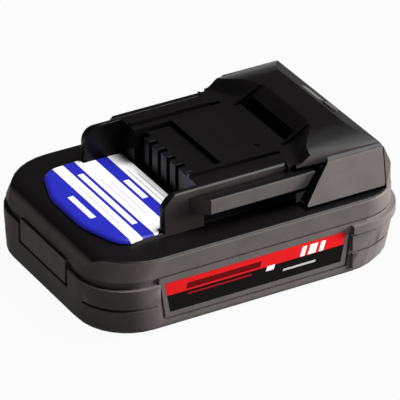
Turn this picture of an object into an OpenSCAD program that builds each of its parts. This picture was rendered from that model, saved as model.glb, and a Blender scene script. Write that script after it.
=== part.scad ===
// Slide-on battery pack for a cordless power tool.
// Five cells lie across a two-part case. The upper half carries the rails, the terminals,
// a release tab on each side and a charge gauge on the rear facet.
// Front is -X, the end that enters the tool first. Left is -Y. +Z is up.
// The origin is under the middle of the base.

/* [Cells] */
// Diameter of one cell
cell_d = 18.4; // [17.8:0.1:18.8]
// Length of one cell
cell_len = 65; // [62:0.5:68]
// Gap between neighbouring cells
cell_gap = 1; // [0.8:0.1:1.6]

/* [Case] */
// Thickness of the case walls
wall = 2.2; // [2:0.1:2.6]
// Thickness of the floor
floor_t = 2; // [1.8:0.1:2.6]
// Room between the end cells and the end walls
end_room = 8.05; // [7.6:0.05:9]
// Room between the cell ends and the side walls
side_room = 5.8; // [5.2:0.1:6.4]
// Height of the lower half, base to seam
seam_z = 19.6; // [19:0.1:20.6]
// Height of the skirt, seam to deck
skirt_h = 7.4; // [7:0.1:8.4]
// Corner radius of the case in plan
corner_r = 17; // [15:0.5:18]
// Corner radius at the front of the deck
deck_corner_r = 22; // [20:0.5:23.5]
// Corner radius at the front of the foot
front_foot_r = 19; // [17:0.5:20]
// Corner radius at the rear of the foot
rear_foot_r = 22.5; // [20:0.5:23]
// Fillet round the foot
foot_fillet = 2.5; // [2:0.1:3.2]
// Rounding of the deck's front edge
nose_r = 6.8; // [5:0.1:6.9]
// Rounding of the deck's other edges
deck_edge_r = 1.2; // [0.6:0.1:1.8]
// Depth and height of the shadow line at the seam
seam_line = 0.7; // [0.3:0.05:0.8]

/* [Bumpers] */
// How far the front bumpers' upper pads stand proud
front_pad_out = 0.9; // [0.5:0.1:1.4]
// How far the front bumpers' lower pads stand proud
front_foot_out = 0.9; // [0.5:0.1:1.4]
// How far the rear bumpers' top ridges stand proud
rear_ridge_out = 1.7; // [1.2:0.1:1.9]
// How far the rear bumpers' pads stand proud
rear_pad_out = 0.8; // [0.5:0.1:1]
// Distance from the middle of a side to its front bumper
front_bumper_x = 37.6; // [37.2:0.1:40]
// Distance from the middle of a side to its rear bumper
rear_bumper_x = 35.4; // [35.2:0.1:38]
// Distance from the middle of an end to its bumpers
bumper_y = 17.2; // [16.6:0.1:20]
// Half width of the raised band on the rear end and of the tongue on the front end
band_hw = 15.6; // [12:0.1:16]
// How far the rear band stands proud
band_out = 1; // [0.6:0.1:1.4]

/* [Rails] */
// Height of the sticker platform above the deck
platform_h = 1.4; // [1.3:0.05:2]
// Half width of the sticker platform and of the top plate
plate_hw = 28.5; // [28:0.1:29.5]
// Height of the top plate above the deck
plate_h = 14.2; // [13.8:0.05:15]
// Thickness of the top plate
plate_t = 2.4; // [2:0.1:2.8]
// Half width of the tower under the plate
tower_hw = 27; // [26.6:0.1:27.4]
// Front face of the tower
tower_x = -15.2; // [-16:0.1:-14.6]
// Front of the cheeks beside the terminal bay
cheek_x = -29.6; // [-32:0.1:-28]
// Thickness of each cheek
cheek_t = 3; // [2.4:0.1:3.4]
// Rounding of the cheek's top front corner
cheek_r = 7; // [5:0.1:8]
// Distance of the rail bars' outer faces from the middle
bar_out = 33.3; // [32.6:0.1:34]
// Height of a rail bar
bar_h = 5.5; // [4.8:0.1:6]
// Front end of the rail bars
bar_x = -14.1; // [-14.4:0.1:-12]
// How far the lead-in of a rail bar reaches ahead of its outer face
bar_lead = 8.6; // [6:0.1:9]
// Height of the guide ribs on the plate
rib_h = 1.4; // [0.8:0.1:1.8]

/* [Terminals] */
// Pitch of the terminal slots
slot_pitch = 6; // [5.6:0.1:6.2]
// Width of a signal slot
slot_w = 2.2; // [2:0.1:2.6]
// Width of the wide slot at the right-hand end
wide_slot_w = 3.6; // [2.6:0.1:3.8]
// Thickness of the contact leaves
leaf_t = 0.6; // [0.4:0.05:0.7]

/* [Rear block and tabs] */
// Half width of the rear block
block_hw = 34.9; // [34.6:0.1:35.4]
// Height of the rear block's side edges above the deck
block_edge_h = 15; // [14.6:0.05:15.6]
// Height of the crown above the deck
crown_h = 19.8; // [19.4:0.05:20.6]
// How far the rear block's sides lean out towards the deck
block_lean = 2.4; // [1:0.1:2.8]
// Half width of the flat crown and of the latch pocket
crown_hw = 15.5; // [14.5:0.1:16.5]
// Thickness of a release tab's panel
tab_t = 2.9; // [2.4:0.1:3]
// Slit under each release tab
tab_slit = 1.3; // [1:0.1:1.6]
// How far a release tab turns, in degrees
tab_turn = 4.5; // [3:0.5:4.5]
// Radius of the tab pins
pin_r = 1.25; // [1:0.05:1.4]
// Wire diameter of the tab springs
spring_wire = 0.6; // [0.4:0.05:0.7]
// Turns of a tab spring
spring_turns = 3; // [2:0.5:3.5]

/* [Gauge] */
// Length of the gauge button
button_l = 7.4; // [5:0.1:7.6]
// Length of the gauge window
window_l = 12; // [10:0.1:12.4]
// Width of the button and of the window
gauge_w = 2.8; // [2.2:0.1:3]
// Travel of the gauge button
button_travel = 0.6; // [0.4:0.05:0.7]

/* [Clearances] */
// Gap between parts that are fixed together
fit_gap = 0.1; // [0.05:0.01:0.15]
// Gap between parts that move past each other
run_gap = 0.4; // [0.3:0.05:0.5]
// Radial clearance of a pin in a turning bore
pin_gap = 0.05; // [0.02:0.01:0.08]

/* [Hidden] */

LEFT = -1;
RIGHT = 1;
SIDES = [LEFT, RIGHT];
FRONT = -1;
REAR = 1;
ENDS = [FRONT, REAR];
ARC = 8;
EPS = 0.01;
BIG = 200;

plastic = "#2b2a2a";
plastic_light = "#4a4645";
steel = "#b9bcc0";
nickel = "#c9c6bd";
brass = "#c8a24a";

cell_count = 5;
cell_pitch = cell_d + cell_gap;
half_l = (cell_count - 1) * cell_pitch / 2 + cell_d / 2 + end_room + wall;
half_w = cell_len / 2 + side_room + wall;
cavity_hl = half_l - wall;
cavity_hw = half_w - wall;
cavity_r = max(front_foot_r, rear_foot_r) - wall;
upper_cavity_r = deck_corner_r - wall;
deck_z = seam_z + skirt_h;
deck_t = 2;
cell_lift = 1.2;
cell_z = floor_t + cell_lift + cell_d / 2;

// Bumper levels, from the base up
taper_top = 15;
taper_foot = 4;
foot_pad_z = 2.6;
front_step_z = 10.7;
front_foot_top = front_step_z - 1;
front_pad_top = seam_z - 2;
rear_ridge_top = seam_z - 0.7;
rear_ridge_z = rear_ridge_top - 3.1;
rear_pad_top = rear_ridge_z - 0.9;
rear_pad_z = 9.3;
rear_foot_top = rear_pad_z - 0.9;
front_band_hw = 26;
band_z = 2.6;
band_top = 11.7;

// Tongue of the upper half, in a recess of the lower half's front wall
tongue_z = front_step_z + 1;
tongue_depth = 1.2;
tongue_top = seam_z + seam_line + 0.2;

// Side label: a trapezoid film in a shallow recess, inside a framing groove
label_t = 0.25;
label_recess = 0.3;
label_x = -1.2;
label_top_hw = 34.4;
label_foot_hw = 32.4;
label_z = 6.1;
label_top = seam_z - 2.4;
frame_step = 1.7;
groove_w = 0.8;
groove_depth = 0.7;

// Case screws
screw_x = half_l - 5.5;
screw_y = 19;
screw_r = 1.45;
screw_head_r = 2.7;
screw_head_h = 1.8;
screw_head_z = 1.2;
screw_hole_r = 1.6;
boss_r = 3.1;
boss_top = deck_z - deck_t;
screw_tip_z = deck_z - 4.4;

// Platform, cheeks, tower and rails
platform_z = deck_z + platform_h;
platform_x = -half_l + 7.9;
platform_nose_r = 2;
platform_corner_r = 9;
platform_bow = 3.4;
bow_r = 18;
bow_y = 8;
plate_z = deck_z + plate_h;
plate_edge_r = 2;
plate_lap = 0.5;
cheek_in = plate_hw - cheek_t;
cheek_edge_r = 0.3;
bar_top = plate_z - plate_t;
bar_z = bar_top - bar_h;
bar_edge_r = 0.5;
tower_wall = 2.2;
tower_in = tower_hw - tower_wall;
rib_out = 20.6;
rib_w = 1.4;
rib_x = 15;
rib_recess = 4.6;
rib_recess_depth = 1.5;

// Rear block: crown, ramp, latch slot and gauge facet
block_x = 17;
ramp_in = [25, 36.5];
ramp_out = [20.5, 26];
ramp_lap = 0.3;
RAMP_STEPS = 8;
facet_x = 43.6;
rear_edge_x = 50.4;
rear_lean_x = half_l - 4.4;
rear_foot_x = half_l - 3.8;
rear_corner_r = 5;
lean_z = deck_z + 7;
crown_z = deck_z + crown_h;
facet_drop = 3.6;
facet_z = crown_z - 0.4;
rear_edge_z = facet_z - facet_drop;
block_edge_z = deck_z + block_edge_h;
slot_x = 25;
slot_rear_x = 29.3;
slot_floor = plate_z - 7;
slot_wall = 1.8;
pocket_hw = crown_hw - 0.3;
pocket_lip = 2.4;
pocket_lip_run = 3.6;
bead_w = 1;
bead_x = 22.4;
bead_top_x = 32.8;
notch_x = 18.4;
notch_out = 1.7;
notch_r = 1.3;
dimple = [15, -12.5];
dimple_r = 1.2;
dimple_depth = 0.5;

// Release tabs: panel outline, pin and hook
tab_z = deck_z + tab_slit;
tab_rear_x = 50.4;
tab_front_x = 19.9;
tab_mid = [25.1, deck_z + 9.2];
tab_top_x = 29.3;
tab_lean = (tab_top_x - tab_mid.x) / (block_edge_z - tab_mid.y);
tab_in = block_hw - tab_t;
tab_lip = 1.7;
tab_lip_z = bar_top + 0.8;
roof_z = tab_lip_z + run_gap;
pin_x = 47.5;
pin_set = 1;
pin_y = tab_in - pin_set;
pin_foot_z = deck_z - 4;
pin_top_z = roof_z + 1.6;
knuckle_r = 3;
hook_x = 18.4;
hook_root_x = 25;
hook_reach = 2.2;
hook_in = tab_in - hook_reach;
hook_out = tab_in + 0.4;
hook_top = bar_z - 1.4;
spring_x = 41;
spring_z = deck_z + 8;
spring_r = 2;
stud_r = 1.4;
stud_l = 1.8;

function travel_at(x) = (pin_x - x) * tan(tab_turn);

// Stack on top of the cells
holder_t = 7;
holder_out = cell_len / 2 - 1.5;
holder_in = holder_out - holder_t;
holder_hl = cavity_hl - 5.8;
holder_top = cell_z + cell_d / 2 + 0.8;
holder_grip = 0.05;
strap_t = 0.3;
strap_w = 7;
insulator_t = 1;
board_z = holder_top + 1;
board_t = 1.6;
board_top = board_z + board_t;
board_x = -44;
board_rear_x = 22;
board_hw = 24;
board_room = 0.3;
bracket_w = 5;
bracket_in = 21.5;
board_hole_r = 1.2;
board_hole_x = 20;
board_hole_y = 20;
transistor = [9, 10, 4.4];
transistor_x = 9;
transistor_y = 12;
heat_tab = [2.4, 8, 1.2];
chip = [8, 8, 1];
chip_x = -38;
foam_hw = 12;
foam_x = board_x + 6;
foam_r = 2;
probe_r = 1.3;
probe_h = 1;
lead_r = 0.3;
lead_y = 0.7;

// Terminal block
block_front = tower_x + 1.9;
block_rear = -1;
comb_hw = 16.6;
comb_top = plate_z - 1.8;
comb_roof = 1.6;
comb_mouth = 2.8;
flange_hw = 18.6;
flange_rear = 1.6;
flange_h = 1.4;
slot_rear = -4.2;
slot_foot = platform_z + 1.2;
slot_ys = [for (i = [0 : 5]) (i - 2.5) * slot_pitch];
leaf_l = 7;
leaf_top = comb_top - 2;
leaf_slack = 0.1;
leaf_rear = slot_rear - 0.4;
leaf_foot_l = 2;
leaf_foot_h = 1.2;
POWER_SLOTS = [0, 5];
SIGNAL_SLOTS = [1, 2, 3, 4];

// Gauge, in a frame that lies on the rear facet with its z outward
facet_tilt = atan(facet_drop / (rear_edge_x - facet_x));
facet_mid = [(facet_x + rear_edge_x) / 2, 0, (facet_z + rear_edge_z) / 2];
facet_wall = 2;
button_y = -7.2;
window_y = 4.6;
button_proud = 0.5;
gauge_flange = 0.8;
gauge_flange_t = 0.7;
gauge_board_t = 1;
gauge_hl = 14.2;
gauge_hw = 3;
gauge_room = 0.3;
post_y = 13;
post_r = 1;
stake_r = 0.5;
switch_w = 4;
switch_h = 1.5;
stop_gap = 0.3;
gauge_board_z = -(facet_wall + fit_gap + gauge_flange_t + button_travel + stop_gap + switch_h);
plunger_r = 0.9;
light_ys = [for (i = [0 : 3]) window_y + (i - 1.5) * window_l / 4.4];

// Rounded outlines

function unit(v) = v / norm(v);

// Points of a fillet of radius r where a line from a to b meets a line from b to c
function fillet(a, b, c, r) =
    r <= 0 ? [b] :
    let (
        u = unit(a - b),
        v = unit(c - b),
        half = acos(u * v) / 2,
        centre = b + unit(u + v) * r / sin(half),
        p = b + u * r / tan(half) - centre,
        q = b + v * r / tan(half) - centre,
        start = atan2(p.y, p.x),
        sweep = atan2(p.x * q.y - p.y * q.x, p * q)
    )
    [for (i = [0 : ARC]) centre + r * [cos(start + sweep * i / ARC), sin(start + sweep * i / ARC)]];

// A closed outline from corners written as [x, y, radius]
function rounded(path) =
    let (n = len(path), flat = [for (p = path) [p.x, p.y]])
    [for (i = [0 : n - 1]) each fillet(flat[(i + n - 1) % n], flat[i], flat[(i + 1) % n], path[i].z)];

function reversed(list) = [for (i = [len(list) - 1 : -1 : 0]) list[i]];

function rectangle(x0, y0, x1, y1, r) = [[x0, y0, r], [x1, y0, r], [x1, y1, r], [x0, y1, r]];

module along_y(y0, y1) {
    translate([0, y1, 0]) rotate([90, 0, 0]) linear_extrude(y1 - y0) children();
}

module along_x(x0, x1) {
    translate([x0, 0, 0]) rotate([90, 0, 90]) linear_extrude(x1 - x0) children();
}

module upright(z0, z1) {
    translate([0, 0, z0]) linear_extrude(z1 - z0) children();
}

module block(x0, x1, y0, y1, z0, z1) {
    translate([x0, y0, z0]) cube([x1 - x0, y1 - y0, z1 - z0]);
}

// A flat piece with rounded corners
module sheet(x0, x1, y0, y1, r, z0, z1) {
    upright(z0, z1) polygon(rounded(rectangle(x0, y0, x1, y1, r)));
}

module slab(hl, hw, r, z0, z1) {
    sheet(-hl, hl, -hw, hw, r, z0, z1);
}

// An upright cylinder between two heights
module rod(r, z0, z1) {
    translate([0, 0, z0]) cylinder(r = r, h = z1 - z0, $fn = 32);
}

// Runs its children once as they are and once mirrored to the other side
module both_sides() {
    children();
    mirror([0, 1, 0]) children();
}

// Draws a left-hand piece on the side asked for
module on_side(side) {
    if (side == LEFT) children();
    else mirror([0, 1, 0]) children();
}

// A disc with a fillet on its lower or upper rim
module coin(r, z0, z1, low_r, top_r) {
    translate([0, 0, z0]) rotate_extrude($fn = 32)
        polygon(rounded([[0, 0, 0], [r, 0, low_r], [r, z1 - z0, top_r], [0, z1 - z0, 0]]));
}

// Places its children where corners of radius r have their centres, at one end of the case
module at_end(end, r) {
    for (side = SIDES) translate([end * (half_l - r), side * (half_w - r), 0]) children();
}

// Case halves

// The lower half's outside, with its corners rounder towards the foot
module lower_shape(out) {
    hull() {
        for (end = ENDS) at_end(end, corner_r) coin(corner_r + out, taper_top, seam_z, 0, 0);
        at_end(FRONT, front_foot_r) coin(front_foot_r + out, 0, taper_foot, foot_fillet, 0);
        at_end(REAR, rear_foot_r) coin(rear_foot_r + out, 0, taper_foot, foot_fillet, 0);
    }
}

module corner_pads(end, out, z0, z1) {
    intersection() {
        lower_shape(out);
        block(-BIG, BIG, -BIG, BIG, z0, z1);
        for (side = SIDES)
            block(end == FRONT ? -BIG : rear_bumper_x, end == FRONT ? -front_bumper_x : BIG,
                side == LEFT ? -BIG : bumper_y, side == LEFT ? -bumper_y : BIG, -1, BIG);
    }
}

module bumpers() {
    corner_pads(FRONT, front_pad_out, front_step_z, front_pad_top);
    corner_pads(FRONT, front_foot_out, foot_pad_z, front_foot_top);
    corner_pads(REAR, rear_ridge_out, rear_ridge_z, rear_ridge_top);
    corner_pads(REAR, rear_pad_out, rear_pad_z, rear_pad_top);
    corner_pads(REAR, rear_pad_out, foot_pad_z, rear_foot_top);
    intersection() {
        lower_shape(front_foot_out);
        block(-BIG, -front_bumper_x, -front_band_hw, front_band_hw, foot_pad_z, front_step_z);
    }
    translate([half_l, 0, 0]) block(-band_out, band_out, -band_hw, band_hw, band_z, band_top);
}

// The dark step between the front pads and the seam
module front_step_cut() {
    difference() {
        block(-BIG, -front_bumper_x, -BIG, BIG, front_pad_top, BIG);
        slab(half_l - seam_line, half_w - seam_line, corner_r - seam_line, 0, BIG);
    }
}

// The tongue, grown where asked for the recess that it lies in
module tongue(side_gap, back_gap, foot_gap, top) {
    block(-half_l - front_pad_out, -half_l + tongue_depth + back_gap, -band_hw - side_gap, band_hw + side_gap,
        tongue_z - foot_gap, top);
}

function label_outline(grow) = [
    [label_x - label_foot_hw - grow, label_z - grow, 0.6],
    [label_x + label_foot_hw + grow, label_z - grow, 0.6],
    [label_x + label_top_hw + grow, label_top + grow, 0.6],
    [label_x - label_top_hw - grow, label_top + grow, 0.6]
];

module label_cuts() {
    both_sides() {
        along_y(-half_w - 1, -half_w + label_recess) polygon(rounded(label_outline(fit_gap)));
        along_y(-half_w - 1, -half_w + groove_depth) difference() {
            polygon(rounded(label_outline(frame_step + groove_w)));
            polygon(rounded(label_outline(frame_step)));
            translate([-BIG, label_top - 1]) square([2 * BIG, BIG]);
        }
    }
}

module screw_places() {
    for (end = ENDS, side = SIDES) translate([end * screw_x, side * screw_y, 0]) children();
}

module lower_housing() {
    color(plastic_light) difference() {
        union() {
            difference() {
                union() {
                    lower_shape(0);
                    bumpers();
                }
                slab(cavity_hl, cavity_hw, cavity_r, floor_t, BIG);
                label_cuts();
                front_step_cut();
                tongue(bumper_y - band_hw, fit_gap, tongue_z - front_step_z, BIG);
            }
            screw_places() rod(boss_r, 0, seam_z);
        }
        screw_places() {
            rod(screw_hole_r, -1, BIG);
            rod(screw_head_r + fit_gap, -1, screw_head_z + screw_head_h);
        }
    }
}

module case_screws() {
    color(steel) screw_places() difference() {
        union() {
            rod(screw_head_r, screw_head_z, screw_head_z + screw_head_h);
            rod(screw_r, screw_head_z, screw_tip_z);
        }
        for (turn = [0, 90]) rotate(turn) block(-1.6, 1.6, -0.35, 0.35, screw_head_z - 1, screw_head_z + 1);
    }
}

// The upper half's skirt, with its front corners rounder towards the deck
module skirt_shape() {
    intersection() {
        hull() {
            for (end = ENDS) at_end(end, corner_r) coin(corner_r, seam_z, seam_z + 1, 0, 0);
            at_end(FRONT, deck_corner_r) coin(deck_corner_r, deck_z - 3, deck_z, 0, deck_edge_r);
            at_end(REAR, corner_r) coin(corner_r, deck_z - 3, deck_z, 0, deck_edge_r);
        }
        along_y(-BIG, BIG) polygon(rounded([
            [-half_l, seam_z - 1, 0], [half_l + 1, seam_z - 1, 0],
            [half_l + 1, deck_z, 0], [-half_l, deck_z, nose_r]
        ]));
    }
}

// The raised platform that the sticker covers, grown by a film's thickness where asked
module platform_shape(grow) {
    r = platform_corner_r;
    top = platform_z + grow;
    hull() {
        for (side = SIDES) {
            translate([platform_x + platform_bow + r, side * (plate_hw - r), 0])
                coin(r + grow, deck_z - 1, top, 0, platform_nose_r + grow);
            translate([platform_x + bow_r, side * bow_y, 0])
                coin(bow_r + grow, deck_z - 1, top, 0, platform_nose_r + grow);
        }
        block(tower_x, tower_x + 1, -plate_hw - grow, plate_hw + grow, deck_z - 1, top);
    }
}

module cheek_shape() {
    intersection() {
        along_y(-BIG, 0) polygon(rounded([
            [cheek_x, deck_z - 1, 0], [bar_x, deck_z - 1, 0],
            [bar_x, plate_z, 0], [cheek_x, plate_z, cheek_r]
        ]));
        upright(deck_z - 1, BIG) polygon(rounded([
            [cheek_x, -plate_hw, cheek_t / 2 - 0.2], [bar_x, -plate_hw, 0],
            [bar_x, -cheek_in, 0], [cheek_x, -cheek_in, cheek_t / 2 - 0.2]
        ]));
        along_x(-BIG, BIG) polygon(rounded([
            [-plate_hw, deck_z - 1, 0], [-cheek_in, deck_z - 1, 0],
            [-cheek_in, plate_z, cheek_edge_r], [-plate_hw, plate_z, plate_edge_r]
        ]));
    }
}

module plate_shape() {
    along_x(tower_x, block_x + 1) polygon(rounded([
        [-plate_hw, bar_top - plate_lap, 0], [plate_hw, bar_top - plate_lap, 0],
        [plate_hw, plate_z, plate_edge_r], [-plate_hw, plate_z, plate_edge_r]
    ]));
}

module bar_shape() {
    intersection() {
        along_x(bar_x - bar_lead, hook_root_x + 2) polygon(rounded([
            [-bar_out, bar_z, bar_edge_r], [-tower_hw + 1, bar_z, 0],
            [-tower_hw + 1, bar_top, 0], [-bar_out, bar_top, bar_edge_r]
        ]));
        along_y(-BIG, BIG) polygon([
            [-BIG, bar_z - 1], [bar_rear(bar_z - 1), bar_z - 1],
            [bar_rear(bar_top + 1), bar_top + 1], [-BIG, bar_top + 1]
        ]);
        upright(bar_z - 1, bar_top + 1) polygon([
            [bar_x - bar_lead, -tower_hw + 1], [bar_x, -bar_out], [BIG, -bar_out], [BIG, -tower_hw + 1]
        ]);
    }
}

// The rear end of a bar runs parallel to the tab's front edge
bar_rear_x = 21.8;
function bar_rear(z) =
    bar_rear_x + (z - bar_z) * (tab_mid.x - tab_front_x) / (tab_mid.y - tab_z);

// Height of the crown at distance y from the middle: flat, then an arc down to the side edges
crown_fall = crown_z - block_edge_z;
crown_run = block_hw - crown_hw;
crown_r = (crown_run * crown_run + crown_fall * crown_fall) / (2 * crown_fall);
function crown_at(y) = crown_z - crown_r + sqrt(crown_r * crown_r - pow(max(y - crown_hw, 0), 2));

// Crowned block at the rear, before the tabs and the latch pocket are cut from it
module rear_shape(z0) {
    steps = 6;
    edge = [for (i = [0 : steps - 1]) let (y = crown_hw + crown_run * i / steps) [y, crown_at(y), 0]];
    foot_hw = block_hw + block_lean;
    half = concat(edge, [[block_hw, block_edge_z, 1.4], [foot_hw, deck_z, 0]]);
    foot = [foot_hw, z0, 0];
    intersection() {
        along_x(block_x, BIG) polygon(rounded(concat(
            reversed(concat(half, [foot])), [for (p = concat(half, [foot])) [-p.x, p.y, p.z]]
        )));
        along_y(-BIG, BIG) polygon(rounded([
            [block_x, z0, 0], [rear_foot_x, z0, 0], [rear_lean_x, lean_z, 5],
            [rear_edge_x, rear_edge_z, 1], [facet_x, facet_z, 1],
            [block_x, crown_z, 0]
        ]));
        upright(z0, BIG) polygon(rounded([
            [block_x - 1, -foot_hw, 0], [rear_foot_x, -foot_hw, rear_corner_r],
            [rear_foot_x, foot_hw, rear_corner_r], [block_x - 1, foot_hw, 0]
        ]));
    }
}

// Where the slope from the plate up to the crown starts and ends at distance y from the middle:
// further forward towards the sides
function ramp_ends(y) =
    ramp_in + (ramp_out - ramp_in) * max(0, min(1, (y - crown_hw) / (tower_hw - crown_hw)));

// A point of the slope, at share t of its run
function ramp_point(t, y) =
    let (ends = ramp_ends(y))
    [ends[0] + (ends[1] - ends[0]) * t, -y,
        plate_z + t * t * (3 - 2 * t) * (crown_at(y) + ramp_lap - plate_z)];

// All that lies above the slope on the left side
module ramp_cut() {
    ys = concat([0], [for (i = [0 : RAMP_STEPS]) crown_hw + crown_run * i / RAMP_STEPS]);
    n = len(ys);
    slope = concat(
        [for (y = ys) [block_x - 1, -y, plate_z]],
        [for (i = [0 : RAMP_STEPS], y = ys) ramp_point(i / RAMP_STEPS, y)]
    );
    count = len(slope);
    last = count - n;
    cells = [for (i = [0 : RAMP_STEPS], j = [0 : n - 2]) i * n + j];
    polyhedron(
        concat(slope, [for (p = slope) [p.x, p.y, crown_z + 5]]),
        concat(
            [for (a = cells) each [[a, a + 1, a + n + 1], [a, a + n + 1, a + n]]],
            [for (a = cells) let (b = a + count) each [[b, b + n + 1, b + 1], [b, b + n, b + n + 1]]],
            [for (j = [0 : n - 2]) [j, j + count, j + 1 + count, j + 1]],
            [for (j = [last : last + n - 2]) [j + 1, j + 1 + count, j + count, j]],
            [for (i = [0 : n : last - n]) [i + n, i + n + count, i + count, i]],
            [for (i = [n - 1 : n : last - 1]) [i, i + count, i + n + count, i + n]]
        )
    );
}

module latch_pocket_cut() {
    along_y(-pocket_hw, pocket_hw) polygon([
        [block_x - 1, plate_z], [slot_x, plate_z], [slot_x, slot_floor],
        [slot_rear_x, slot_floor], [slot_rear_x, crown_z - pocket_lip],
        [slot_rear_x + pocket_lip_run, crown_z], [slot_rear_x + pocket_lip_run, crown_z + 1],
        [block_x - 1, crown_z + 1]
    ]);
}

// A bead up the slope on each side of the latch pocket
module pocket_beads() {
    intersection() {
        rear_shape(deck_z);
        both_sides() along_y(-crown_hw - bead_w, -pocket_hw) polygon([
            [bead_x, plate_z - 0.5], [ramp_in[1] + 1, plate_z - 0.5],
            [ramp_in[1] + 1, crown_z + 1], [bead_top_x, crown_z + 1],
            [bead_top_x, crown_z], [bead_x, plate_z]
        ]);
    }
}

module tab_pocket_cut() {
    block(block_x - 1, tab_rear_x + run_gap, -BIG, -tower_hw, deck_z, roof_z);
    upright(roof_z - 1, BIG) polygon([
        [block_x - 1, -BIG], [tab_rear_x + run_gap, -BIG],
        [tab_rear_x + run_gap, -roof_edge(pin_x)], [pin_x, -roof_edge(pin_x)],
        [block_x - 1, -roof_edge(block_x - 1)]
    ]);
}

function roof_edge(x) = block_hw - tab_lip - run_gap - travel_at(x);

module tower_shape() {
    block(tower_x, block_x + 1, -tower_hw, tower_hw, deck_z - 1, bar_top + 1);
    plate_shape();
    both_sides() {
        bar_shape();
        block(tower_x, rib_x, -rib_out, -rib_out + rib_w, plate_z - 1, plate_z + rib_h);
    }
}

module rear_block() {
    difference() {
        rear_shape(deck_z - 1);
        both_sides() {
            ramp_cut();
            tab_pocket_cut();
        }
        latch_pocket_cut();
    }
    pocket_beads();
}

// Hollow of the upper half, with the latch slot's walls left standing
module upper_cavity() {
    intersection() {
        slab(cavity_hl, cavity_hw, upper_cavity_r, seam_z - 1, BIG);
        along_y(-BIG, BIG) polygon(rounded([
            [-BIG, seam_z - 2, 0], [BIG, seam_z - 2, 0],
            [BIG, deck_z - deck_t, 0], [-cavity_hl, deck_z - deck_t, nose_r - wall],
            [-cavity_hl, seam_z - 2, 0]
        ]));
    }
    block(board_x - board_room, tower_x + tower_wall + 1, -board_hw - board_room, board_hw + board_room,
        board_z - 1, platform_z - deck_t);
    difference() {
        union() {
            block(tower_x + tower_wall, pin_x - tower_wall, -tower_in, tower_in, board_z - 1, bar_top);
            block(slot_rear_x + 3, facet_x, -crown_hw, crown_hw, deck_z, crown_z - wall - 0.4);
            on_facet() block(-gauge_hw - gauge_room, gauge_hw + gauge_room, -gauge_hl - gauge_room,
                gauge_hl + gauge_room, gauge_board_z - 3, -facet_wall);
        }
        block(slot_x - slot_wall, slot_rear_x + slot_wall, -pocket_hw - slot_wall, pocket_hw + slot_wall,
            slot_floor - slot_wall, BIG);
    }
}

// Places its children on the rear facet
module on_facet() {
    translate(facet_mid) rotate([0, facet_tilt, 0]) children();
}

module stadium(len_y, width, z0, z1) {
    slab(width / 2, len_y / 2, width / 2 - 0.1, z0, z1);
}

module gauge_cuts() {
    on_facet() {
        translate([0, button_y, 0])
            stadium(button_l + 2 * run_gap, gauge_w + 2 * run_gap, -facet_wall - 1, 4);
        translate([0, window_y, 0])
            stadium(window_l + 2 * fit_gap, gauge_w + 2 * fit_gap, -facet_wall - 1, 4);
    }
}

module gauge_posts() {
    on_facet() for (side = SIDES) translate([0, side * post_y, 0]) {
        translate([0, 0, gauge_board_z]) cylinder(r = post_r, h = -gauge_board_z - 1, $fn = 24);
        translate([0, 0, gauge_board_z - gauge_board_t - 0.4]) cylinder(r = stake_r, h = 2, $fn = 24);
    }
}

module terminal_window_cut() {
    block(tower_x - 1, block_rear + fit_gap, -comb_hw - fit_gap, comb_hw + fit_gap, platform_z, BIG);
}

module upper_housing() {
    color(plastic) difference() {
        union() {
            difference() {
                union() {
                    skirt_shape();
                    platform_shape(0);
                    both_sides() cheek_shape();
                    tower_shape();
                    rear_block();
                }
                upper_cavity();
                terminal_window_cut();
                latch_pocket_cut();
                gauge_cuts();
                difference() {
                    slab(half_l + 1, half_w + 1, corner_r, seam_z - 1, seam_z + seam_line);
                    slab(half_l - seam_line, half_w - seam_line, corner_r - seam_line,
                        seam_z - 2, seam_z + 2);
                }
            }
            tongue(0, 0, 0, tongue_top);
            screw_places() rod(boss_r, seam_z, boss_top + 0.2);
            for (side = SIDES) translate([pin_x, side * pin_y, 0]) rod(knuckle_r, pin_foot_z, deck_z - 0.5);
            gauge_posts();
            both_sides() translate([spring_x, -tower_hw - stud_l, spring_z]) rotate([-90, 0, 0])
                cylinder(r = stud_r, h = stud_l + 1, $fn = 24);
        }
        screw_places() rod(screw_r + fit_gap / 2, seam_z - 1, screw_tip_z + 0.3);
        translate([dimple.x, dimple.y, 0]) rod(dimple_r, plate_z - dimple_depth, BIG);
        both_sides() {
            translate([notch_x, -plate_hw - notch_out, 0]) rod(notch_r, bar_top, BIG);
            block(rib_x + 0.4, rib_x + rib_recess, -rib_out - 0.2, -rib_out + rib_w + 0.2,
                plate_z - rib_recess_depth, BIG);
        }
        for (side = SIDES) translate([pin_x, side * pin_y, 0])
            rod(pin_r + pin_gap / 2, pin_foot_z - 1, pin_top_z + 0.2);
    }
}

// Release tabs

module tab(side) {
    on_side(side) difference() {
        union() {
            intersection() {
                rear_shape(deck_z);
                along_y(-BIG, BIG) polygon(rounded([
                    [tab_front_x, tab_z, 0.5], [tab_rear_x, tab_z, 0.8], [tab_rear_x, crown_z, 0],
                    [tab_top_x + (crown_z - block_edge_z) * tab_lean, crown_z, 0], [tab_mid.x, tab_mid.y, 12]
                ]));
                union() {
                    block(0, BIG, -BIG, -block_hw + tab_lip, deck_z, BIG);
                    block(0, BIG, -BIG, -tab_in, deck_z, tab_lip_z);
                }
            }
            translate([pin_x, -pin_y, 0]) rod(knuckle_r, tab_z + 0.3, tab_lip_z);
            block(hook_x, hook_root_x, -hook_out, -hook_in, tab_z, hook_top);
        }
        translate([pin_x, -pin_y, 0]) rod(pin_r + pin_gap, deck_z, BIG);
    }
}

module left_release_tab() {
    color(plastic_light) tab(LEFT);
}

module right_release_tab() {
    color(plastic_light) tab(RIGHT);
}

module tab_pin(side) {
    color(steel) translate([pin_x, side * pin_y, 0]) rod(pin_r, pin_foot_z, pin_top_z);
}

module left_tab_pin() {
    tab_pin(LEFT);
}

module right_tab_pin() {
    tab_pin(RIGHT);
}

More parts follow.
